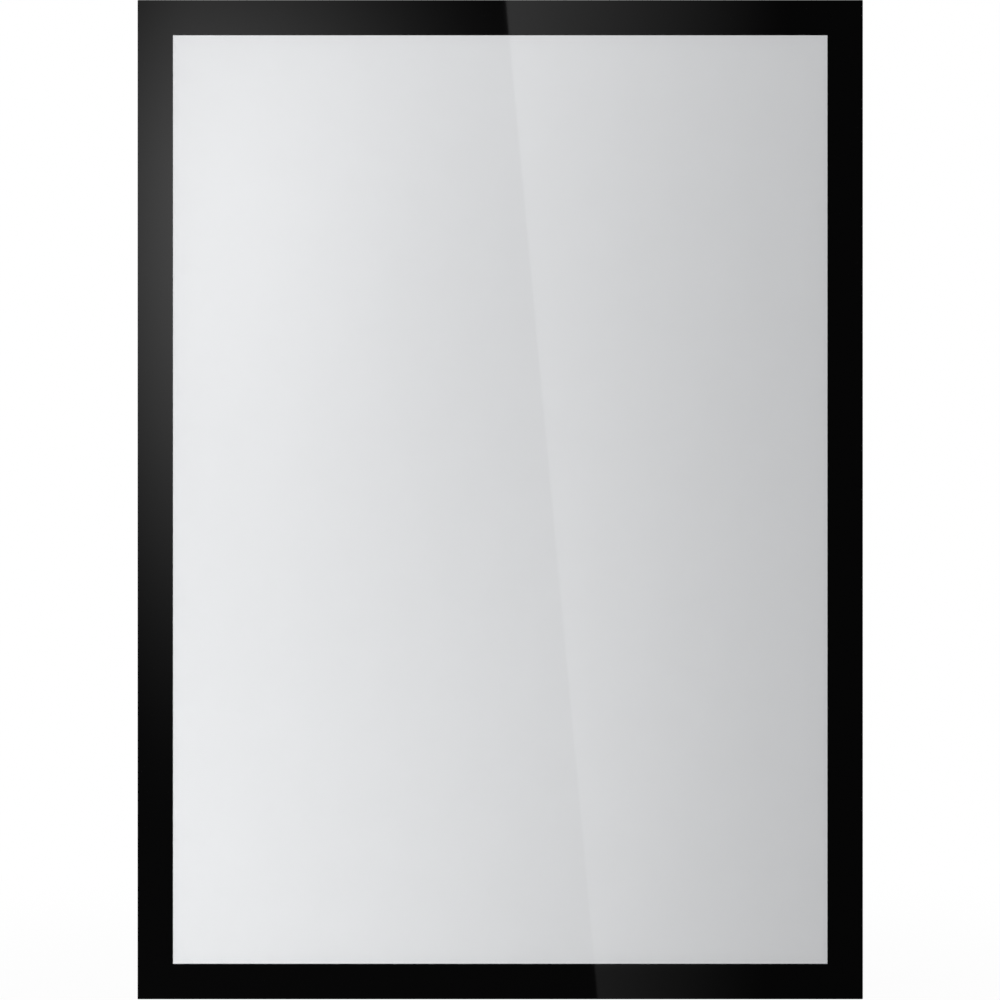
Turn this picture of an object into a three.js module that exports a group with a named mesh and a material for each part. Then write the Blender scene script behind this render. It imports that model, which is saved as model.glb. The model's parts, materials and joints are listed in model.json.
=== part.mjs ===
// Magnetic display frame for one sheet of paper, in portrait.
// Two flat laminates close on each other by their magnet strips, with the sheet between them.
// The back panel sticks to a wall, and the front leaf opens like a book cover on a folded tape.
//
// Inside the frame group x runs to the right, y up and z out of the wall towards the viewer.
// The group is then stood upright, so that the wall is the plane y = 0 and the front faces -Y.

import * as THREE from 'three';

// Sheet that the frame is made for (millimetres, as everywhere below)
const SHEET_WIDTH = 297;
const SHEET_HEIGHT = 420;
const SHEET_THICKNESS = 0.2;
const SHEET_PLAY = 0.5; // free play round the sheet in its recess

// Border
const RECESS_RIM = 13.75; // outer edge to the recess that holds the sheet
const BORDER_WIDTH = 15.9; // outer edge to the window
const CORNER_RADIUS = 0.4; // die-cut outer corners
const CORNER_STEPS = 4;

// Layers of the two laminates
const ADHESIVE_THICKNESS = 0.2;
const FOIL_THICKNESS = 0.2;
const BACK_FILM_THICKNESS = 0.25;
const FRONT_FILM_THICKNESS = 0.25;
const BACK_MAGNET_THICKNESS = 0.6;
const FRONT_MAGNET_THICKNESS = 0.6;
const BOND_LINE = 0.04; // between two layers that are laminated together

// Magnet strips
const MAGNET_EDGE_INSET = 0.25; // foil and film reach past the strips at the outer edge
const MAGNET_WINDOW_INSET = 0.4; // the front strips stop short of the window
const MITRE_GAP = 0.3; // between two strips at a corner

// Hinge tape, folded along the left edge between the two rings of strips
const TAPE_THICKNESS = 0.1;
const TAPE_LEAF_WIDTH = 11;
const TAPE_LEAF_GAP = 0.06; // between the two leaves when the frame is shut
const TAPE_END_INSET = 1; // the tape stops short of the frame's top and bottom
const FOLD_CLEARANCE = 0.05; // the front leaf of the tape swings round the fold by this much
const FOLD_STEPS = 10;

// Adhesive strips on the back
const ADHESIVE_WIDTH = 11;
const ADHESIVE_EDGE_INSET = 1.4;
const ADHESIVE_CORNER_RADIUS = 2;
const ADHESIVE_END_GAP = 3; // between the ends of the short strips and the long ones

// The overall size follows from the sheet
const WIDTH = SHEET_WIDTH + 2 * (SHEET_PLAY + RECESS_RIM);
const HEIGHT = SHEET_HEIGHT + 2 * (SHEET_PLAY + RECESS_RIM);

// Where each layer starts above the wall, from the back to the front
const BACK_FOIL_Z = ADHESIVE_THICKNESS + BOND_LINE;
const BACK_FILM_Z = BACK_FOIL_Z + FOIL_THICKNESS + BOND_LINE;
const BED_Z = BACK_FILM_Z + BACK_FILM_THICKNESS + BOND_LINE; // the sheet and the back strips lie here
const BACK_TAPE_Z = BED_Z + BACK_MAGNET_THICKNESS + BOND_LINE;
const FRONT_TAPE_Z = BACK_TAPE_Z + TAPE_THICKNESS + TAPE_LEAF_GAP;
const FRONT_MAGNET_Z = FRONT_TAPE_Z + TAPE_THICKNESS + BOND_LINE;
const FRONT_FILM_Z = FRONT_MAGNET_Z + FRONT_MAGNET_THICKNESS + BOND_LINE;
const FRONT_FOIL_Z = FRONT_FILM_Z + FRONT_FILM_THICKNESS + BOND_LINE;

// The hinge line is the centre of the tape's fold, on the left edge of the laminates
const HINGE_X = -WIDTH / 2;
const HINGE_Z = BACK_TAPE_Z + TAPE_THICKNESS + TAPE_LEAF_GAP / 2;

// The four sides: how far each is turned from the top one, how long it is, and how far out it lies
const SIDES = [
  { side: 'top', turn: 0, length: WIDTH, reach: HEIGHT / 2 },
  { side: 'left', turn: Math.PI / 2, length: HEIGHT, reach: WIDTH / 2 },
  { side: 'bottom', turn: Math.PI, length: WIDTH, reach: HEIGHT / 2 },
  { side: 'right', turn: -Math.PI / 2, length: HEIGHT, reach: WIDTH / 2 },
];

function glossBlackFoil() {
  return new THREE.MeshStandardMaterial({ color: 0x060607, roughness: 0.12 });
}

function clearFilm() {
  return new THREE.MeshStandardMaterial({
    color: 0xf4f6f8,
    roughness: 0.08,
    transparent: true,
    opacity: 0.12,
  });
}

function magnetRubber() {
  return new THREE.MeshStandardMaterial({ color: 0x2a2725, roughness: 0.85 });
}

function blackTape() {
  return new THREE.MeshStandardMaterial({ color: 0x151516, roughness: 0.6 });
}

function blankPaper() {
  return new THREE.MeshStandardMaterial({ color: 0xd8d8da, roughness: 0.9 });
}

function clearAdhesive() {
  return new THREE.MeshStandardMaterial({
    color: 0xe9e6da,
    roughness: 0.3,
    transparent: true,
    opacity: 0.55,
  });
}

function piece(name, geometry, material) {
  const mesh = new THREE.Mesh(geometry, material);
  mesh.name = name;
  return mesh;
}

// Flat layer of even thickness, from its outline
function layer(outline, thickness) {
  return new THREE.ExtrudeGeometry(outline, {
    depth: thickness,
    bevelEnabled: false,
    curveSegments: CORNER_STEPS,
  });
}

function rectangle(width, height) {
  const x = width / 2;
  const y = height / 2;
  return new THREE.Shape([
    new THREE.Vector2(-x, -y),
    new THREE.Vector2(x, -y),
    new THREE.Vector2(x, y),
    new THREE.Vector2(-x, y),
  ]);
}

function roundedRectangle(width, height, radius) {
  const x = width / 2 - radius;
  const y = height / 2 - radius;
  const outline = new THREE.Shape();
  outline.absarc(x, y, radius, 0, Math.PI / 2);
  outline.absarc(-x, y, radius, Math.PI / 2, Math.PI);
  outline.absarc(-x, -y, radius, Math.PI, 1.5 * Math.PI);
  outline.absarc(x, -y, radius, 1.5 * Math.PI, 2 * Math.PI);
  return outline;
}

// Outline of both laminates
function leafOutline() {
  return roundedRectangle(WIDTH, HEIGHT, CORNER_RADIUS);
}

// Border of even width round a square-cornered window
function borderOutline() {
  const outline = leafOutline();
  outline.holes.push(rectangle(WIDTH - 2 * BORDER_WIDTH, HEIGHT - 2 * BORDER_WIDTH));
  return outline;
}

// Strip cut at 45 degrees at both ends, hanging down from its outer edge on the x axis
function mitredStrip(length, width) {
  const outer = length / 2 - MITRE_GAP / Math.SQRT2;
  const inner = outer - width;
  return new THREE.Shape([
    new THREE.Vector2(-inner, -width),
    new THREE.Vector2(inner, -width),
    new THREE.Vector2(outer, 0),
    new THREE.Vector2(-outer, 0),
  ]);
}

// A piece on one of the four sides: it is placed as on the top side, then turned with its side
function onSide(turn, mesh) {
  const turned = new THREE.Group();
  turned.rotation.z = turn;
  turned.add(mesh);
  return turned;
}

// Ring of four mitred magnet strips, set in from the outer edge
function magnetRing(prefix, width, thickness, z) {
  const ring = new THREE.Group();
  for (const { side, turn, length, reach } of SIDES) {
    const outline = mitredStrip(length - 2 * MAGNET_EDGE_INSET, width);
    const strip = piece(prefix + '_' + side, layer(outline, thickness), magnetRubber());
    strip.position.set(0, reach - MAGNET_EDGE_INSET, z);
    ring.add(onSide(turn, strip));
  }
  return ring;
}

// Double-sided strips: the long ones run the full height and the short ones lie between them
function adhesiveStrips() {
  const strips = new THREE.Group();
  const longStripZone = ADHESIVE_EDGE_INSET + ADHESIVE_WIDTH + ADHESIVE_END_GAP;
  for (const { side, turn, length, reach } of SIDES) {
    const upright = side === 'left' || side === 'right';
    const run = length - 2 * (upright ? ADHESIVE_EDGE_INSET : longStripZone);
    const outline = roundedRectangle(run, ADHESIVE_WIDTH, ADHESIVE_CORNER_RADIUS);
    const strip = piece('adhesive_strip_' + side, layer(outline, ADHESIVE_THICKNESS), clearAdhesive());
    strip.position.y = reach - ADHESIVE_EDGE_INSET - ADHESIVE_WIDTH / 2;
    strips.add(onSide(turn, strip));
  }
  return strips;
}

// Tape along the left edge, from its section about the hinge line: x to the right, y out of the wall
function hingeTape(name, section) {
  const run = HEIGHT - 2 * TAPE_END_INSET;
  const geometry = new THREE.ExtrudeGeometry(section, {
    depth: run,
    bevelEnabled: false,
    curveSegments: FOLD_STEPS,
  });
  const tape = piece(name, geometry, blackTape());
  tape.rotation.x = Math.PI / 2;
  tape.position.set(HINGE_X, run / 2, HINGE_Z);
  return tape;
}

// Back leaf of the tape, with the half-round fold that turns towards the front
function hingeTapeBackLeaf() {
  const inner = TAPE_LEAF_GAP / 2;
  const outer = inner + TAPE_THICKNESS;
  const section = new THREE.Shape();
  section.moveTo(TAPE_LEAF_WIDTH, -outer);
  section.lineTo(TAPE_LEAF_WIDTH, -inner);
  section.lineTo(0, -inner);
  section.absarc(0, 0, inner, 1.5 * Math.PI, 0.5 * Math.PI, true);
  section.lineTo(0, outer);
  section.absarc(0, 0, outer, 0.5 * Math.PI, 1.5 * Math.PI, false);
  section.closePath();
  return hingeTape('hinge_tape_back_leaf', section);
}

// Front leaf of the tape, which carries on from the fold and swings clear round it
function hingeTapeFrontLeaf() {
  const inner = TAPE_LEAF_GAP / 2;
  const outer = inner + TAPE_THICKNESS;
  const start = outer + FOLD_CLEARANCE;
  const section = new THREE.Shape([
    new THREE.Vector2(start, inner),
    new THREE.Vector2(TAPE_LEAF_WIDTH, inner),
    new THREE.Vector2(TAPE_LEAF_WIDTH, outer),
    new THREE.Vector2(start, outer),
  ]);
  return hingeTape('hinge_tape_front_leaf', section);
}

function backPanel() {
  const foil = piece('back_border_foil', layer(borderOutline(), FOIL_THICKNESS), glossBlackFoil());
  foil.position.z = BACK_FOIL_Z;

  const film = piece('back_film', layer(leafOutline(), BACK_FILM_THICKNESS), clearFilm());
  film.position.z = BACK_FILM_Z;

  const stripWidth = RECESS_RIM - MAGNET_EDGE_INSET;
  const magnets = magnetRing('back_magnet', stripWidth, BACK_MAGNET_THICKNESS, BED_Z);

  const sheetOutline = rectangle(SHEET_WIDTH, SHEET_HEIGHT);
  const sheet = piece('insert_sheet', layer(sheetOutline, SHEET_THICKNESS), blankPaper());
  sheet.position.z = BED_Z;

  const panel = new THREE.Group();
  panel.add(adhesiveStrips(), foil, film, magnets, sheet, hingeTapeBackLeaf());
  return panel;
}

// The leaf turns on the hinge line, so its group stands there and its layers are set back from it
function frontLeaf() {
  const stripWidth = BORDER_WIDTH - MAGNET_WINDOW_INSET - MAGNET_EDGE_INSET;
  const magnets = magnetRing('front_magnet', stripWidth, FRONT_MAGNET_THICKNESS, FRONT_MAGNET_Z);

  const film = piece('front_film', layer(leafOutline(), FRONT_FILM_THICKNESS), clearFilm());
  film.position.z = FRONT_FILM_Z;

  const foil = piece('front_border_foil', layer(borderOutline(), FOIL_THICKNESS), glossBlackFoil());
  foil.position.z = FRONT_FOIL_Z;

  const layers = new THREE.Group();
  layers.position.set(-HINGE_X, 0, -HINGE_Z);
  layers.add(hingeTapeFrontLeaf(), magnets, film, foil);

  const leaf = new THREE.Group();
  leaf.position.set(HINGE_X, 0, HINGE_Z);
  leaf.add(layers);
  return leaf;
}

const frame = new THREE.Group();
frame.rotation.x = Math.PI / 2;
frame.add(backPanel(), frontLeaf());

export default frame;
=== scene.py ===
import json
import math

import bmesh
import bpy
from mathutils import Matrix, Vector


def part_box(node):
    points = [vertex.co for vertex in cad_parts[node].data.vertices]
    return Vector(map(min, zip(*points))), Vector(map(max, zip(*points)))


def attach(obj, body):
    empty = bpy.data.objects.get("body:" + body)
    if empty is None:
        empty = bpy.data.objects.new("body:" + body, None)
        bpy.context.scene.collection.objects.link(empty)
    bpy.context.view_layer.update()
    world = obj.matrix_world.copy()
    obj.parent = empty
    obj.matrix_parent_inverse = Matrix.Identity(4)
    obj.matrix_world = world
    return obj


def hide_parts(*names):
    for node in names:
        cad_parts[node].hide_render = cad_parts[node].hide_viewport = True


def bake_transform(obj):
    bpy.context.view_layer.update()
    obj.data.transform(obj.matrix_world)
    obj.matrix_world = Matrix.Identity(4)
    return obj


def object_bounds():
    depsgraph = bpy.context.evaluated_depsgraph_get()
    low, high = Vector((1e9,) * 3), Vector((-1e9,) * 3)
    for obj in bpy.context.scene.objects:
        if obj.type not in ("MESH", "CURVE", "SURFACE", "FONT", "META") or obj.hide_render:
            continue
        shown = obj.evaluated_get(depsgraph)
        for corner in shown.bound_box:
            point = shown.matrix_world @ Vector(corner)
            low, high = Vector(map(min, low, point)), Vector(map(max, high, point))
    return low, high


# A thin magnetic wall frame for one sheet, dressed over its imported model. Sizes are in metres.
# The wall is the plane y = 0, the front faces -Y, and +Z is up.
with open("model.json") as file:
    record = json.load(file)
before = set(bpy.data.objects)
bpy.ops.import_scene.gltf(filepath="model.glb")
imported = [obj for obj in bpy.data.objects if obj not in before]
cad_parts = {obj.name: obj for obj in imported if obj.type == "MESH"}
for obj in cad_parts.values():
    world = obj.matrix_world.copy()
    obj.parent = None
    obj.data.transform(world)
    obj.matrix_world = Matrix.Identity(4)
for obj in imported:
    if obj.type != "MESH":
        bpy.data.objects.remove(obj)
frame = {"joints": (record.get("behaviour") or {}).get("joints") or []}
cad_low, cad_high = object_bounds()


# Adhesive strips: four lengths of clear double-sided acrylic tape, kiss-cut with rounded corners.
# They lie on the back border and hold the frame to the wall, once their liners are peeled off.
STRIP_CORNER = 0.002
STRIP_CORNER_STEPS = 8
STRIP_RIM = 0.00003
RIM_STEPS = 2
SHARP_ANGLE = math.radians(40)
SMOOTH_ANGLE = math.radians(20)
THROUGH = Vector((0, 1, 0))
NEARLY_ALONG = 0.9
ADHESIVE_TINT = (0.80, 0.79, 0.76)
ADHESIVE_INDEX = 1.47
ADHESIVE_ROUGHNESS = (0.10, 0.26)
HAZE_SIZE = 0.012
HAZE_COLOUR = (0.70, 0.68, 0.61)
HAZE_SHARE = (0.03, 0.08)
BUBBLE_PITCH = 0.0019
BUBBLE_EDGE = (0.20, 0.08)
BUBBLE_SHARE = 0.10
BUBBLE_HEIGHT = 0.4
RIPPLE_SIZE = 0.0026
RIPPLE_DEPTH = 0.00003


def start_block(name, node):
    """A block that fills the box of a node, with its place in its mesh."""
    low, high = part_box(node)
    bpy.ops.object.select_all(action="DESELECT")
    bpy.ops.mesh.primitive_cube_add(size=1, location=(low + high) / 2, scale=high - low)
    bpy.ops.object.transform_apply(location=True, rotation=True, scale=True)
    piece = bpy.context.active_object
    piece.name = name
    return piece


def runs_through(edge):
    """True for an edge that runs through the thickness of a flat piece."""
    start, end = (corner.co for corner in edge.verts)
    return abs((end - start).normalized().dot(THROUGH)) > NEARLY_ALONG


def is_sharp(edge):
    """True for an edge between two faces at an angle, and not for the steps of a round corner."""
    return edge.calc_face_angle(0) > SHARP_ANGLE


def pick(piece, kind, wanted):
    """In edit mode, select the edges or the faces that pass a test."""
    bpy.ops.mesh.select_mode(type=kind)
    bpy.ops.mesh.select_all(action="DESELECT")
    mesh = bmesh.from_edit_mesh(piece.data)
    for element in mesh.edges if kind == "EDGE" else mesh.faces:
        element.select_set(wanted(element))
    bmesh.update_edit_mesh(piece.data)


def bevel_edges(piece, wanted, width, steps):
    """Round the edges that pass a test."""
    bpy.ops.object.mode_set(mode="EDIT")
    pick(piece, "EDGE", wanted)
    bpy.ops.mesh.bevel(offset=width, segments=steps, affect="EDGES")
    bpy.ops.object.mode_set(mode="OBJECT")


def soften_rim(piece, width):
    """Take the sharpness off a flat piece's cut edges, and shade its round corners smoothly."""
    bevel_edges(piece, is_sharp, width, RIM_STEPS)
    bpy.ops.object.shade_smooth_by_angle(angle=SMOOTH_ANGLE)


def fit(piece, material, body, slot, *nodes):
    """Give a finished piece its material and its body, and hide the nodes that it stands for."""
    piece.data.materials.append(material)
    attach(piece, body)
    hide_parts(*nodes)


class Shade:
    """One socket in a material. Sums with it add Math nodes, and add() adds any other node."""

    def __init__(self, tree, socket=None):
        self.tree = tree
        self.socket = socket

    def add(self, kind, settings=None, inputs=None, output=0):
        """Add a node: first its settings, then the values or links of its sockets."""
        node = self.tree.nodes.new("ShaderNode" + kind)
        for name, value in (settings or {}).items():
            setattr(node, name, value)
        for name, value in (inputs or {}).items():
            if isinstance(value, Shade):
                self.tree.links.new(value.socket, node.inputs[name])
            else:
                node.inputs[name].default_value = value
        return Shade(self.tree, node.outputs[output] if node.outputs else None)

    def maths(self, operation, first, second=0.0):
        return self.add("Math", {"operation": operation}, {0: first, 1: second})

    def __add__(self, other):
        return self.maths("ADD", self, other)

    def __radd__(self, other):
        return self.maths("ADD", other, self)

    def __sub__(self, other):
        return self.maths("SUBTRACT", self, other)

    def __rsub__(self, other):
        return self.maths("SUBTRACT", other, self)

    def __mul__(self, other):
        return self.maths("MULTIPLY", self, other)

    def __rmul__(self, other):
        return self.maths("MULTIPLY", other, self)

    def __truediv__(self, other):
        return self.maths("DIVIDE", self, other)

    def __rtruediv__(self, other):
        return self.maths("DIVIDE", other, self)

    def __pow__(self, other):
        return self.maths("POWER", self, other)

    def __rpow__(self, other):
        return self.maths("POWER", other, self)


def new_material(name):
    """An empty material, and a shade to build its nodes with."""
    material = bpy.data.materials.new(name)
    material.use_nodes = True
    material.node_tree.nodes.clear()
    return material, Shade(material.node_tree)


def between(ends, factor):
    """From the first of two values to the second, as a factor goes from 0 to 1."""
    start, end = ends
    return start + (end - start) * factor


def noise(shade, place, size, detail):
    """Soft patches about this far apart, in metres, with finer ones in them."""
    return shade.add(
        "TexNoise", inputs={"Vector": place, "Scale": 1 / size, "Detail": detail}, output="Fac"
    )


def bump(shade, height, depth):
    """A normal for a surface whose height of 1 stands this deep, in metres."""
    return shade.add("Bump", inputs={"Strength": 1.0, "Distance": depth, "Height": height})


def adhesive_material():
    """Clear, with a faint milky haze, small trapped bubbles and a rippled gloss of its own."""
    material, shade = new_material("clear_acrylic_adhesive")
    place = shade.add("TexCoord", output="Object")
    haze = noise(shade, place, HAZE_SIZE, detail=3)
    ripple = noise(shade, place, RIPPLE_SIZE, detail=2)
    from_centre = shade.add(
        "TexVoronoi", inputs={"Vector": place, "Scale": 1 / BUBBLE_PITCH}, output="Distance"
    )
    bubble = shade.add(
        "MapRange",
        inputs={"Value": from_centre, "From Min": BUBBLE_EDGE[0], "From Max": BUBBLE_EDGE[1]},
    )
    level = bump(shade, ripple + BUBBLE_HEIGHT * bubble, RIPPLE_DEPTH)
    clear = shade.add("BsdfTransparent", inputs={"Color": (*ADHESIVE_TINT, 1)})
    milk = shade.add("BsdfDiffuse", inputs={"Color": (*HAZE_COLOUR, 1)})
    milkiness = between(HAZE_SHARE, haze) + BUBBLE_SHARE * bubble
    body = shade.add("MixShader", inputs={0: milkiness, 1: clear, 2: milk})
    roughness = between(ADHESIVE_ROUGHNESS, ripple)
    gloss = shade.add(
        "BsdfAnisotropic", inputs={"Color": (1, 1, 1, 1), "Roughness": roughness, "Normal": level}
    )
    mirrored = shade.add("Fresnel", inputs={"IOR": ADHESIVE_INDEX, "Normal": level})
    behind = shade.add("NewGeometry", output="Backfacing")
    surface = shade.add("MixShader", inputs={0: (1 - behind) * mirrored, 1: body, 2: gloss})
    shade.add("OutputMaterial", inputs={"Surface": surface})
    return material


adhesive = adhesive_material()
for side in ("top", "bottom", "left", "right"):
    strip = start_block("wall_strip_" + side, "adhesive_strip_" + side)
    bevel_edges(strip, runs_through, STRIP_CORNER, STRIP_CORNER_STEPS)
    soften_rim(strip, STRIP_RIM)
    fit(strip, adhesive, "back_panel", "clear_adhesive", "adhesive_strip_" + side)


# Back border: one frame of gloss black foil, die-cut from a single sheet, seen from behind the frame.
# Its window is square-cornered, and it is laminated to the rear of the back film.
BORDER_WIDTH = 0.0159
LEAF_CORNER = 0.0004
LEAF_CORNER_STEPS = 6
FOIL_RIM = 0.00003
FOIL_TONES = ((0.0009, 0.0009, 0.0009), (0.0017, 0.0017, 0.0018))
FOIL_INDEX = 1.5
FOIL_ROUGHNESS = (0.012, 0.024)
SPECK_SIZE = 0.0004
SMUDGE_SIZE = 0.026
SMUDGE_DEPTH = 0.0000006


def is_broad(face):
    """True for the two large faces of a flat piece."""
    return abs(face.normal.dot(THROUGH)) > NEARLY_ALONG


def border_foil(name, node):
    """A die-cut border: the window is inset on both faces and bridged through."""
    piece = start_block(name, node)
    outer_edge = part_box(node)[1].x - LEAF_CORNER
    bpy.ops.object.mode_set(mode="EDIT")
    pick(piece, "FACE", is_broad)
    bpy.ops.mesh.inset(thickness=BORDER_WIDTH, use_individual=True)
    bpy.ops.mesh.bridge_edge_loops()
    bpy.ops.object.mode_set(mode="OBJECT")

    def is_outer_corner(edge):
        return runs_through(edge) and abs(edge.verts[0].co.x) > outer_edge

    bevel_edges(piece, is_outer_corner, LEAF_CORNER, LEAF_CORNER_STEPS)
    soften_rim(piece, FOIL_RIM)
    return piece


def two_tone(shade, factor, tones):
    """A colour between a dark and a light one. A Mix node's colours are its inputs 6 and 7, and output 2."""
    dark, light = tones
    return shade.add(
        "Mix", {"data_type": "RGBA"}, {0: factor, 6: (*dark, 1), 7: (*light, 1)}, output=2
    )


def foil_material():
    """Deep black with a mirror gloss, very slightly uneven, as thin foil on a film is."""
    material, shade = new_material("gloss_black_foil")
    place = shade.add("TexCoord", output="Object")
    smudge = noise(shade, place, SMUDGE_SIZE, detail=3)
    speck = noise(shade, place, SPECK_SIZE, detail=2)
    surface = shade.add(
        "BsdfPrincipled",
        inputs={
            "Base Color": two_tone(shade, speck, FOIL_TONES),
            "Roughness": between(FOIL_ROUGHNESS, smudge),
            "Normal": bump(shade, smudge, SMUDGE_DEPTH),
            "IOR": FOIL_INDEX,
        },
    )
    shade.add("OutputMaterial", inputs={"Surface": surface})
    return material


black_foil = foil_material()
back_border = border_foil("back_border", "back_border_foil")
fit(back_border, black_foil, "back_panel", "black_foil", "back_border_foil")


# Back film: one clear polyester film over the whole back panel, laminated between border and magnets.
# The sheet lies on it, and shows through it when the frame hangs on a pane.
FILM_RIM = 0.00003
FILM_TINT = (0.985, 0.988, 0.99)
FILM_INDEX = 1.47
FILM_ROUGHNESS = (0.012, 0.024)
WAVE_SIZE = 0.045
WAVE_DEPTH = 0.0000006
CUT_EDGE_TONES = ((0.42, 0.44, 0.46), (0.66, 0.68, 0.70))
CUT_EDGE_ROUGHNESS = (0.3, 0.5)
CUT_EDGE_ALPHA = (0.45, 0.65)
BURR_SIZE = 0.0002


def window_film(name, node):
    """A clear film, cut to the outline of its leaf."""
    piece = start_block(name, node)
    bevel_edges(piece, runs_through, LEAF_CORNER, LEAF_CORNER_STEPS)
    soften_rim(piece, FILM_RIM)
    return piece


def film_material():
    """Clear all through: the share that both faces mirror is laid over what lies behind."""
    material, shade = new_material("clear_window_film")
    place = shade.add("TexCoord", output="Object")
    wave = noise(shade, place, WAVE_SIZE, detail=2)
    level = bump(shade, wave, WAVE_DEPTH)
    one_face = shade.add("Fresnel", inputs={"IOR": FILM_INDEX, "Normal": level})
    behind = shade.add("NewGeometry", output="Backfacing")
    mirrored = (1 - behind) * 2 * one_face / (1 + one_face)
    clear = shade.add("BsdfTransparent", inputs={"Color": (*FILM_TINT, 1)})
    roughness = between(FILM_ROUGHNESS, wave)
    gloss = shade.add(
        "BsdfAnisotropic", inputs={"Color": (1, 1, 1, 1), "Roughness": roughness, "Normal": level}
    )
    surface = shade.add("MixShader", inputs={0: mirrored, 1: clear, 2: gloss})
    shade.add("OutputMaterial", inputs={"Surface": surface})
    return material


def film_edge_material():
    """The cut edge of the film, which scatters a little light."""
    material, shade = new_material("film_cut_edge")
    place = shade.add("TexCoord", output="Object")
    burr = noise(shade, place, BURR_SIZE, detail=2)
    surface = shade.add(
        "BsdfPrincipled",
        inputs={
            "Base Color": two_tone(shade, burr, CUT_EDGE_TONES),
            "Roughness": between(CUT_EDGE_ROUGHNESS, burr),
            "Alpha": between(CUT_EDGE_ALPHA, burr),
        },
    )
    shade.add("OutputMaterial", inputs={"Surface": surface})
    return material


def give_cut_edge(piece, material):
    """Give the narrow faces round a film a material of their own."""
    piece.data.materials.append(material)
    bpy.ops.object.select_all(action="DESELECT")
    piece.select_set(True)
    bpy.context.view_layer.objects.active = piece
    piece.active_material_index = len(piece.data.materials) - 1
    bpy.ops.object.mode_set(mode="EDIT")
    pick(piece, "FACE", lambda face: not is_broad(face))
    bpy.ops.object.material_slot_assign()
    bpy.ops.object.mode_set(mode="OBJECT")


clear_film = film_material()
film_edge = film_edge_material()
back_window = window_film("back_window", "back_film")
fit(back_window, clear_film, "back_panel", "clear_film", "back_film")
give_cut_edge(back_window, film_edge)


# Back magnets: four strips of flexible ferrite-filled rubber, mitred where they meet at the corners.
# They are glued round the edge of the back film, and leave the recess that keeps the sheet in place.
OUTWARDS = {
    "top": Vector((0, 0, 1)),
    "bottom": Vector((0, 0, -1)),
    "left": Vector((-1, 0, 0)),
    "right": Vector((1, 0, 0)),
}
MITRE_TOLERANCE = 1e-7
MAGNET_RIM = 0.00006
RUBBER_TONES = ((0.004, 0.0036, 0.0034), (0.056, 0.052, 0.049))
RUBBER_ROUGHNESS = (0.42, 0.82)
STREAK_SIZE = 0.0009
STREAK_STRETCH = 33
STREAK_SHARE = 0.4
BLOTCH_SIZE = 0.0048
BLOTCH_SHARE = 0.5
GRAIN_SIZE = 0.0002
GRAIN_DEPTH = 0.00003


def magnet_strip(name, node, side):
    """A strip cut at 45 degrees at both ends, inwards from the corners of its outer edge."""
    piece = start_block(name, node)
    low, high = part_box(node)
    outwards = OUTWARDS[side]
    along = THROUGH.cross(outwards)
    bpy.ops.object.mode_set(mode="EDIT")
    for to_end in (-along, along):
        corner = Vector(high[axis] if (outwards + to_end)[axis] > 0 else low[axis] for axis in range(3))
        bpy.ops.mesh.select_all(action="SELECT")
        bpy.ops.mesh.bisect(
            plane_co=corner,
            plane_no=to_end - outwards,
            use_fill=True,
            clear_outer=True,
            threshold=MITRE_TOLERANCE,
        )
    bpy.ops.object.mode_set(mode="OBJECT")
    soften_rim(piece, MAGNET_RIM)
    return piece


def magnet_material(name, stretch):
    """Matt black-brown rubber, with fine grain and streaks from the rollers along the strip."""
    material, shade = new_material(name)
    place = shade.add("TexCoord", output="Object")
    drawn = shade.add("Mapping", inputs={"Vector": place, "Scale": stretch})
    streak = noise(shade, drawn, STREAK_SIZE, detail=4)
    blotch = noise(shade, place, BLOTCH_SIZE, detail=3)
    grain = noise(shade, place, GRAIN_SIZE, detail=3)
    mottle = between((grain, blotch), BLOTCH_SHARE)
    surface = shade.add(
        "BsdfPrincipled",
        inputs={
            "Base Color": two_tone(shade, between((mottle, streak), STREAK_SHARE), RUBBER_TONES),
            "Roughness": between(RUBBER_ROUGHNESS, mottle),
            "Normal": bump(shade, between((grain, streak), STREAK_SHARE), GRAIN_DEPTH),
        },
    )
    shade.add("OutputMaterial", inputs={"Surface": surface})
    return material


rubber_across = magnet_material("magnet_rubber_across", (1 / STREAK_STRETCH, 1, 1))
rubber_upright = magnet_material("magnet_rubber_upright", (1, 1, 1 / STREAK_STRETCH))
magnet_rubber = {
    "top": rubber_across,
    "bottom": rubber_across,
    "left": rubber_upright,
    "right": rubber_upright,
}
for side, rubber in magnet_rubber.items():
    strip = magnet_strip("back_strip_" + side, "back_magnet_" + side, side)
    fit(strip, rubber, "back_panel", "magnet_rubber", "back_magnet_" + side)


# Insert sheet: one blank sheet of heavy uncoated paper, lying loose in the recess.
# It is guillotined square, and only the border of the front leaf covers its edge.
SHEET_RIM = 0.00002
PAPER_TONES = ((0.755, 0.755, 0.762), (0.805, 0.805, 0.812))
PAPER_ROUGHNESS = (0.82, 0.94)
PAPER_SHINE = 0.25
CLOUD_SIZE = 0.018
FIBRE_SIZE = 0.00045
FIBRE_SHARE = 0.65
FIBRE_DEPTH = 0.000008


def paper_material():
    """Pale and matt, with fine fibres and the faint clouds that they form in the sheet."""
    material, shade = new_material("blank_paper")
    place = shade.add("TexCoord", output="Object")
    cloud = noise(shade, place, CLOUD_SIZE, detail=3)
    fibre = noise(shade, place, FIBRE_SIZE, detail=5)
    surface = shade.add(
        "BsdfPrincipled",
        inputs={
            "Base Color": two_tone(shade, between((cloud, fibre), FIBRE_SHARE), PAPER_TONES),
            "Roughness": between(PAPER_ROUGHNESS, fibre),
            "Specular IOR Level": PAPER_SHINE,
            "Normal": bump(shade, fibre, FIBRE_DEPTH),
        },
    )
    shade.add("OutputMaterial", inputs={"Surface": surface})
    return material


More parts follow.
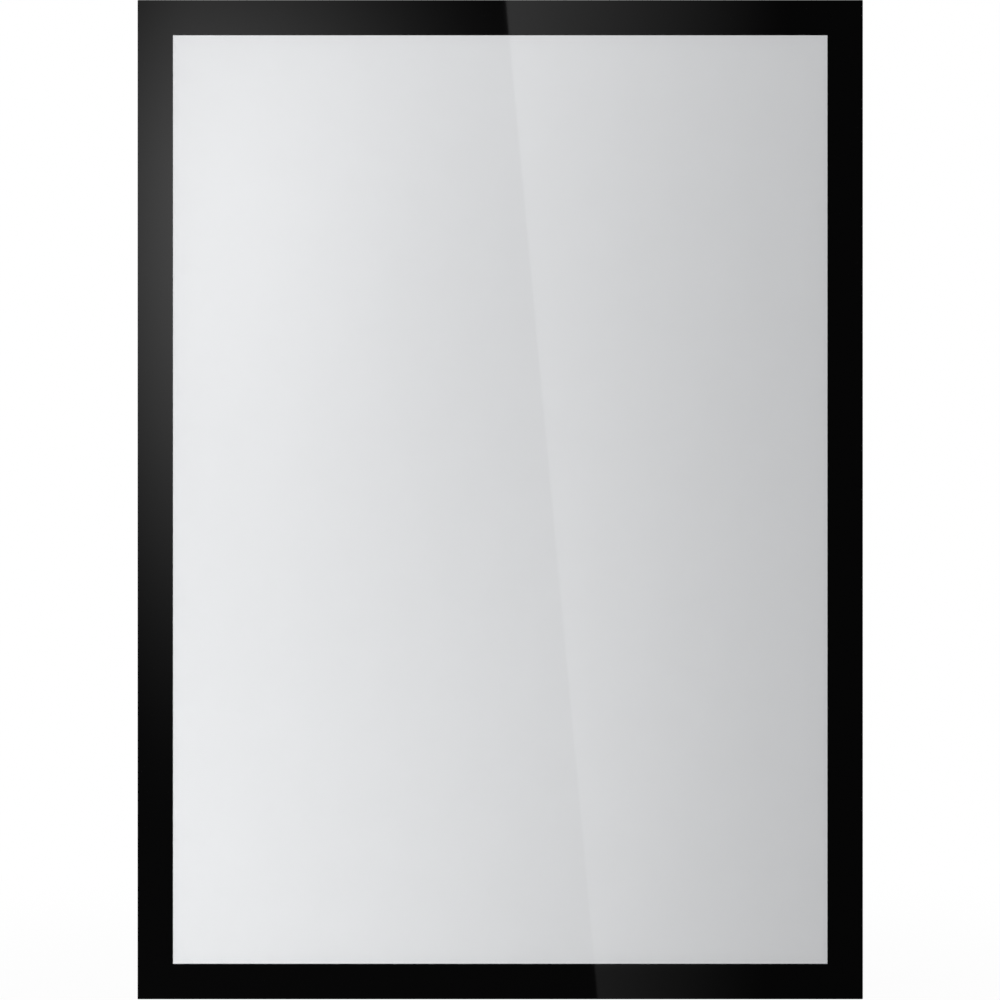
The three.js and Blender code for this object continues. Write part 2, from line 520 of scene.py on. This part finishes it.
sheet = start_block("blank_sheet", "insert_sheet")
soften_rim(sheet, SHEET_RIM)
fit(sheet, paper_material(), "back_panel", "sheet_paper", "insert_sheet")


# Hinge tape: one strip of thin black cloth tape, folded in two along the left edge.
# Each half is stuck to its own ring of magnets, and the fold is the hinge of the front leaf.
HINGE_LINE = Vector(frame["joints"][0]["pos_m"])
FOLD_STEPS = 12
MERGE_DISTANCE = 1e-6
TAPE_TONES = ((0.006, 0.006, 0.0065), (0.022, 0.022, 0.023))
TAPE_ROUGHNESS = (0.42, 0.62)
THREAD_PITCH = 0.00083
THREAD_WAVER = 0.6
WAVER_SCALE = 3.0
WEAVE_DEPTH = 0.00003


def is_on_hinge_line(edge):
    """True for the edge of the tape's back half that lies at the hinge."""
    return all(abs(end.co.x - HINGE_LINE.x) < MERGE_DISTANCE for end in edge.verts)


def folded_tape(name):
    """The back half is a strip, spun half round the hinge line and drawn out again as the front half."""
    back_low, back_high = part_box("hinge_tape_back_leaf")
    front_low, front_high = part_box("hinge_tape_front_leaf")
    thickness = front_high.y - front_low.y
    half_width = back_high.x - HINGE_LINE.x
    run = back_high.z - back_low.z
    bpy.ops.object.select_all(action="DESELECT")
    bpy.ops.mesh.primitive_plane_add(
        size=1,
        location=(HINGE_LINE.x + half_width / 2, back_high.y - thickness / 2, HINGE_LINE.z),
        rotation=(math.radians(90), 0, 0),
    )
    tape = bpy.context.active_object
    tape.name = name
    tape.scale = (half_width, run, 1)
    bpy.ops.object.transform_apply(location=True, rotation=True, scale=True)
    bpy.ops.object.mode_set(mode="EDIT")
    pick(tape, "EDGE", is_on_hinge_line)
    bpy.ops.mesh.spin(steps=FOLD_STEPS, angle=-math.pi, center=HINGE_LINE, axis=(0, 0, 1))
    bpy.ops.mesh.extrude_region_move(TRANSFORM_OT_translate={"value": (half_width, 0, 0)})
    bpy.ops.mesh.select_all(action="SELECT")
    bpy.ops.mesh.remove_doubles(threshold=MERGE_DISTANCE)
    bpy.ops.mesh.normals_make_consistent(inside=False)
    bpy.ops.object.mode_set(mode="OBJECT")
    wall = tape.modifiers.new("thickness", "SOLIDIFY")
    wall.thickness = thickness
    wall.offset = 0
    bpy.ops.object.modifier_apply(modifier=wall.name)
    bpy.ops.object.shade_smooth_by_angle(angle=SMOOTH_ANGLE)
    return tape


def threads(shade, place, direction):
    """Slightly uneven threads side by side. At a scale of 1 a wave's bands lie pi / 10 apart."""
    return shade.add(
        "TexWave",
        {"bands_direction": direction},
        {
            "Vector": place,
            "Scale": math.pi / 10 / THREAD_PITCH,
            "Distortion": THREAD_WAVER,
            "Detail Scale": WAVER_SCALE,
        },
        output="Fac",
    )


def tape_material():
    """Fine plain weave under a thin black coat."""
    material, shade = new_material("black_cloth_tape")
    place = shade.add("TexCoord", output="Object")
    warp = threads(shade, place, "X")
    weft = threads(shade, place, "Z")
    weave = warp * weft + (1 - warp) * (1 - weft)
    surface = shade.add(
        "BsdfPrincipled",
        inputs={
            "Base Color": two_tone(shade, weave, TAPE_TONES),
            "Roughness": between(TAPE_ROUGHNESS, weave),
            "Normal": bump(shade, weave, WEAVE_DEPTH),
        },
    )
    shade.add("OutputMaterial", inputs={"Surface": surface})
    return material


tape = folded_tape("hinge_tape")
tape.data.materials.append(tape_material())
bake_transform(tape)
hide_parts("hinge_tape_back_leaf", "hinge_tape_front_leaf")


# Front magnets: the matching ring of mitred strips on the front leaf, a little wider than the back ones.
# They are glued to the rear of the front film, and stop just short of the window.
def throw_no_shade(piece):
    """Keep a piece from shading the sheet's edge, because a loose sheet comes to lie close to the window."""
    piece.visible_shadow = False
    piece.visible_diffuse = False


for side, rubber in magnet_rubber.items():
    strip = magnet_strip("front_strip_" + side, "front_magnet_" + side, side)
    fit(strip, rubber, "front_leaf", "magnet_rubber", "front_magnet_" + side)
    throw_no_shade(strip)


# Front film: the clear window, one film over the whole front leaf.
# It is laminated behind the border, so that only its window shows.
front_window = window_film("front_window", "front_film")
fit(front_window, clear_film, "front_leaf", "clear_film", "front_film")
give_cut_edge(front_window, film_edge)


# Front border: the same gloss black die-cut foil as at the back, and the foremost layer of the frame.
# It hides the magnets and the edge of the sheet.
front_border = border_foil("front_border", "front_border_foil")
fit(front_border, black_foil, "front_leaf", "black_foil", "front_border_foil")
throw_no_shade(front_border)


# Floor: a plain pale surface under the frame's lower edge, as white as the background to the camera.
# It only catches the frame's soft shadow: it neither throws light back nor keeps any from the frame,
# and it is clear from below.
FLOOR_SIZE = 12
FLOOR_GAP = 0.0002
FLOOR_COLOUR = (0.8, 0.8, 0.8)
SHADOW_REACH = (0.1, 0.5)
FLOOR_WHITENESS = (0.95, 1.0)


def smooth_step(shade, value, span, ends=(0.0, 1.0)):
    """Goes smoothly from the first end to the second as a value crosses a span."""
    return shade.add(
        "MapRange",
        {"interpolation_type": "SMOOTHSTEP"},
        {
            "Value": value,
            "From Min": span[0],
            "From Max": span[1],
            "To Min": ends[0],
            "To Max": ends[1],
        },
    )


def white_to_the_eye(shade):
    """1 for rays from the camera, and for those that a mirror or clear film passes on."""
    camera = shade.add("LightPath", output="Is Camera Ray")
    glossy = shade.add("LightPath", output="Is Glossy Ray")
    through = shade.add("LightPath", output="Is Transmission Ray")
    return shade.maths("MAXIMUM", shade.maths("MAXIMUM", camera, glossy), through)


def floor_material():
    """White light to the eye, with a share of plain paint near the frame, which takes its shadow."""
    material, shade = new_material("floor_paint")
    place = shade.add("TexCoord", output="Object")
    from_frame = shade.add("VectorMath", {"operation": "LENGTH"}, {0: place}, output="Value")
    whiteness = smooth_step(shade, from_frame, SHADOW_REACH, FLOOR_WHITENESS) * white_to_the_eye(shade)
    paint = shade.add("BsdfDiffuse", inputs={"Color": (*FLOOR_COLOUR, 1)})
    white = shade.add("Emission", inputs={"Color": (1, 1, 1, 1), "Strength": 1.0})
    upper_face = shade.add("MixShader", inputs={0: whiteness, 1: paint, 2: white})
    below = shade.add("NewGeometry", output="Backfacing")
    clear = shade.add("BsdfTransparent", inputs={"Color": (1, 1, 1, 1)})
    one_sided = shade.add("MixShader", inputs={0: below, 1: upper_face, 2: clear})
    shade.add("OutputMaterial", inputs={"Surface": one_sided})
    return material


bpy.ops.object.select_all(action="DESELECT")
bpy.ops.mesh.primitive_plane_add(size=FLOOR_SIZE, location=(0, 0, cad_low.z - FLOOR_GAP))
floor = bpy.context.active_object
floor.name = "floor"
floor.data.materials.append(floor_material())
floor.visible_glossy = False
floor.visible_diffuse = False
floor.visible_shadow = False


# Room light: an even pale room, a large softbox before the frame and one behind, each well above it.
# Two more stand near the left of its front, and light the sheet from there. None shows in the gloss.
ROOM_LIGHT = 0.23
SOFTBOXES = {
    "high_softbox": {"place": (-0.10, -0.28, 0.37), "size": (0.2, 0.35), "power": 0.40},
    "low_softbox": {"place": (-0.23, -0.41, -0.19), "size": (0.2, 0.35), "power": 1.44},
    "front_softbox": {"place": (0.0, -1.70, 0.50), "size": (0.8, 0.8), "power": 10.4},
    "rear_softbox": {"place": (0.0, 1.70, 0.50), "size": (0.8, 0.8), "power": 25.0},
}

world = bpy.data.worlds.new("room")
bpy.context.scene.world = world
world.use_nodes = True
world.node_tree.nodes.clear()
shade = Shade(world.node_tree)
strength = between((ROOM_LIGHT, 1), white_to_the_eye(shade))
room = shade.add("Background", inputs={"Color": (1, 1, 1, 1), "Strength": strength})
shade.add("OutputWorld", inputs={"Surface": room})

for name, setup in SOFTBOXES.items():
    turned = math.pi if setup["place"][1] > 0 else 0
    bpy.ops.object.light_add(
        type="AREA", location=setup["place"], rotation=(math.radians(90), 0, turned)
    )
    softbox = bpy.context.active_object
    softbox.name = name
    softbox.data.shape = "RECTANGLE"
    softbox.data.size, softbox.data.size_y = setup["size"]
    softbox.data.energy = setup["power"]
    softbox.visible_glossy = False


# Light panel: a feathered panel behind the camera, which makes the reflections on the gloss front.
# Its sizes and places are given where it mirrors on the front, and are larger by MIRROR_SCALE on the panel.
# The band's pairs of values are for its bottom and its top.
CAMERA_DISTANCE = 1.3
PANEL_DISTANCE = 1.9
PANEL_SIZE = (0.52, 0.8)
PANEL_DARK = 0.02
MIRROR_SCALE = 1 + PANEL_DISTANCE / CAMERA_DISTANCE
GLOW_CENTRE = (-0.132, 0.131)
GLOW_REACH = {"left": 0.106, "right": 0.189, "up": 0.243, "down": 0.323}
GLOW_STRENGTH = 1.46
GLOW_FADE = 2
BAND_EDGE_X = (0.0439, 0.0026)
BAND_EDGE_Z = (-0.2247, 0.2243)
BAND_REACH = (0.076, 0.126)
BAND_STRENGTH = (0.42, 0.75)
BAND_FADE = 1.3
FOOT_Z = (-0.213, -0.199)
FOOT_SHARE = (0.5, 1.0)


def upright_wall(name, width, height, y, material):
    """A stage wall square to the view, which shows in reflections alone."""
    bpy.ops.object.select_all(action="DESELECT")
    bpy.ops.mesh.primitive_plane_add(size=1, location=(0, y, 0), rotation=(math.radians(90), 0, 0))
    wall = bpy.context.active_object
    wall.name = name
    wall.scale = (width, height, 1)
    bpy.ops.object.transform_apply(location=True, rotation=True, scale=True)
    wall.data.materials.append(material)
    wall.visible_camera = False
    wall.visible_diffuse = False
    wall.visible_transmission = False
    wall.visible_shadow = False


def place_on_wall(shade):
    """Where a point lies on an upright wall: to the right and above its middle, in metres."""
    place = shade.add("TexCoord", output="Object")
    return [shade.add("SeparateXYZ", inputs={0: place}, output=axis) for axis in ("X", "Z")]


def round_glow(shade, x, z):
    """A soft spot that fades further to the right and down than to the left and up."""
    across = x - GLOW_CENTRE[0]
    above = z - GLOW_CENTRE[1]
    sideways = shade.maths("MAXIMUM", across / GLOW_REACH["right"], across / -GLOW_REACH["left"])
    upright = shade.maths("MAXIMUM", above / GLOW_REACH["up"], above / -GLOW_REACH["down"])
    far = (sideways * sideways + upright * upright) ** 0.5
    return GLOW_STRENGTH * smooth_step(shade, far, (0, 1), ends=(1, 0)) ** GLOW_FADE


def slanted_band(shade, beyond, rise, z):
    """Brightest along its slanted left edge, fading to the right and towards its foot."""
    edge_light = between(BAND_STRENGTH, rise) * smooth_step(shade, z, FOOT_Z, FOOT_SHARE)
    return edge_light * shade.maths("MAXIMUM", 1 - beyond / between(BAND_REACH, rise), 0.0) ** BAND_FADE


def panel_material():
    """The round glow to the left of a slanted edge, and the band to its right."""
    material, shade = new_material("feathered_panel")
    x, z = (on_panel / MIRROR_SCALE for on_panel in place_on_wall(shade))
    rise = (z - BAND_EDGE_Z[0]) / (BAND_EDGE_Z[1] - BAND_EDGE_Z[0])
    beyond = x - between(BAND_EDGE_X, rise)
    in_band = shade.maths("GREATER_THAN", beyond, 0.0)
    glow = in_band * slanted_band(shade, beyond, rise, z) + (1 - in_band) * round_glow(shade, x, z)
    light = shade.add("Emission", inputs={"Color": PANEL_DARK + glow})
    shade.add("OutputMaterial", inputs={"Surface": light})
    return material


panel_width, panel_height = (MIRROR_SCALE * length for length in PANEL_SIZE)
upright_wall("light_panel", panel_width, panel_height, cad_low.y - PANEL_DISTANCE, panel_material())


# Curtains: black velvet behind the panel, and another behind the frame, both paler far out.
# Leaning strip lights on them show the gloss from other sides, and leave the front one's middle dark.
CURTAIN_SIZE = 12.0
CURTAIN_DISTANCE = 2.0
PALE_SPAN = (1.5, 3.3)
VELVET_LIGHT = (PANEL_DARK, 0.4)
STRIP_LIGHT_EDGE = 0.76
STRIP_LIGHT_RISE = (1.0, 1.6)
STRIP_LIGHT_PITCH = 0.66
STRIP_LIGHT_LEAN = 0.10
STRIP_LIGHT_GLOW = 0.75
STRIP_LIGHT_FADE = 1.5


def curtain_material(name, dark_middle):
    """Velvet with strip lights, each brightest at its left edge, outside a dark middle of this half width."""
    material, shade = new_material(name)
    x, z = place_on_wall(shade)
    velvet = smooth_step(shade, (x * x + z * z) ** 0.5, PALE_SPAN, VELVET_LIGHT)
    across = x + STRIP_LIGHT_LEAN * z
    over_strip = shade.maths("FRACT", (across - STRIP_LIGHT_EDGE) / STRIP_LIGHT_PITCH)
    beside = shade.maths("GREATER_THAN", shade.maths("ABSOLUTE", across), dark_middle)
    above_or_below = smooth_step(shade, shade.maths("ABSOLUTE", z), STRIP_LIGHT_RISE)
    outside = shade.maths("MAXIMUM", beside, above_or_below)
    strip_light = STRIP_LIGHT_GLOW * outside * (1 - over_strip) ** STRIP_LIGHT_FADE
    light = shade.add("Emission", inputs={"Color": velvet + strip_light})
    shade.add("OutputMaterial", inputs={"Surface": light})
    return material


front_velvet = curtain_material("front_velvet", STRIP_LIGHT_EDGE)
rear_velvet = curtain_material("rear_velvet", 0)
upright_wall("front_curtain", CURTAIN_SIZE, CURTAIN_SIZE, cad_low.y - CURTAIN_DISTANCE, front_velvet)
upright_wall("rear_curtain", CURTAIN_SIZE, CURTAIN_SIZE, CURTAIN_DISTANCE, rear_velvet)


# Camera: square on to the front, from far enough off that the layers' edges don't show.
# The frame fills the picture's height. The picture's span and centre are those at the frame's front.
PICTURE_SPAN = 0.4488
PICTURE_CENTRE = (-0.0001, -0.0002)
bpy.ops.object.camera_add(
    location=(PICTURE_CENTRE[0], cad_low.y - CAMERA_DISTANCE, PICTURE_CENTRE[1]),
    rotation=(math.radians(90), 0, 0),
)
camera = bpy.context.active_object
camera.data.lens = camera.data.sensor_width * CAMERA_DISTANCE / PICTURE_SPAN
bpy.context.scene.camera = camera
bpy.context.scene.view_settings.view_transform = "Standard"
